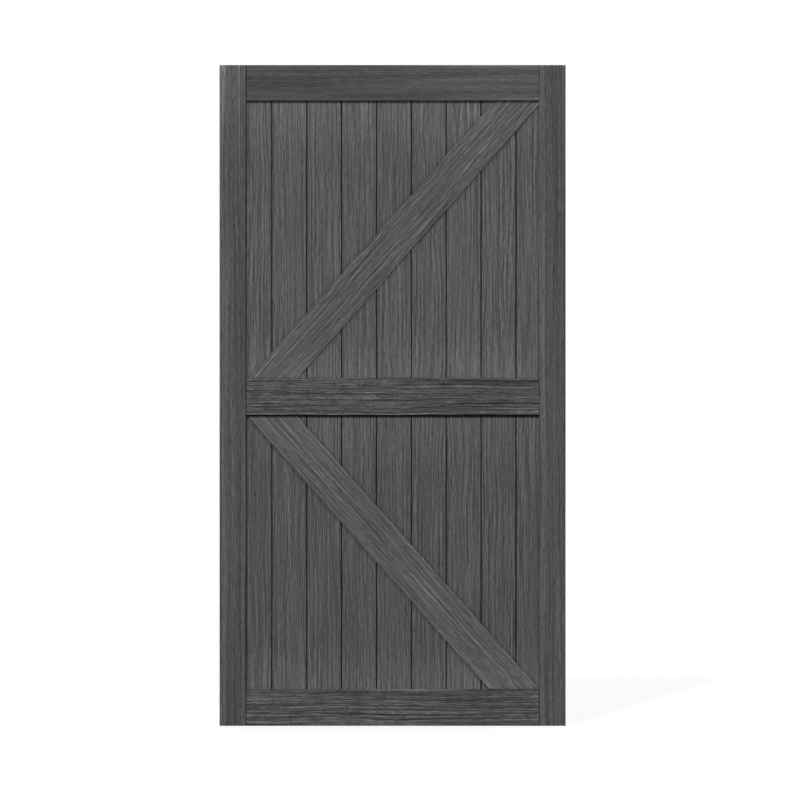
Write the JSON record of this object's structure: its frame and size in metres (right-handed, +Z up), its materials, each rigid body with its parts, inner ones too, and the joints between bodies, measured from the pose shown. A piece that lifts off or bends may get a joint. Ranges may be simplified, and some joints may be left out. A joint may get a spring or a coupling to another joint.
{
  "type": "k-brace barn door leaf",
  "caption": "Framed barn door leaf of dark charcoal wood: grooved stiles and rails, upper and lower panels of upright tongued boards, and a diagonal brace across each panel.",
  "frame": {"origin": "middle of the door's top edge, half way through its thickness", "axes": "+Z up, +X to the right seen from the front, the front faces -Y"},
  "size_m": [1.1176, 0.0444, 2.1336],
  "materials": {
    "stile_wood": "charcoal stained wood, straight grain along the stile, satin",
    "smooth_rail_wood": "charcoal stained wood, fine straight grain across the door, satin",
    "rough_rail_wood": "charcoal stained wood, rough wavy grain across the door, satin",
    "board_wood": "charcoal stained wood, streaked upright grain with a faint blue cast at the ends, satin",
    "brace_wood": "charcoal stained wood, straight grain along the brace, satin"
  },
  "bodies": {
    "root": {"left_stile": "stile_wood", "right_stile": "stile_wood", "top_rail": "smooth_rail_wood", "middle_rail": "rough_rail_wood", "bottom_rail": "rough_rail_wood", "upper_board_1": "board_wood", "upper_board_2": "board_wood", "upper_board_3": "board_wood", "upper_board_4": "board_wood", "upper_board_5": "board_wood", "upper_board_6": "board_wood", "upper_board_7": "board_wood", "upper_board_8": "board_wood", "upper_board_9": "board_wood", "lower_board_1": "board_wood", "lower_board_2": "board_wood", "lower_board_3": "board_wood", "lower_board_4": "board_wood", "lower_board_5": "board_wood", "lower_board_6": "board_wood", "lower_board_7": "board_wood", "lower_board_8": "board_wood", "lower_board_9": "board_wood", "upper_brace_front": "brace_wood", "upper_brace_back": "brace_wood", "lower_brace_front": "brace_wood", "lower_brace_back": "brace_wood"}
  },
  "joints": []
}
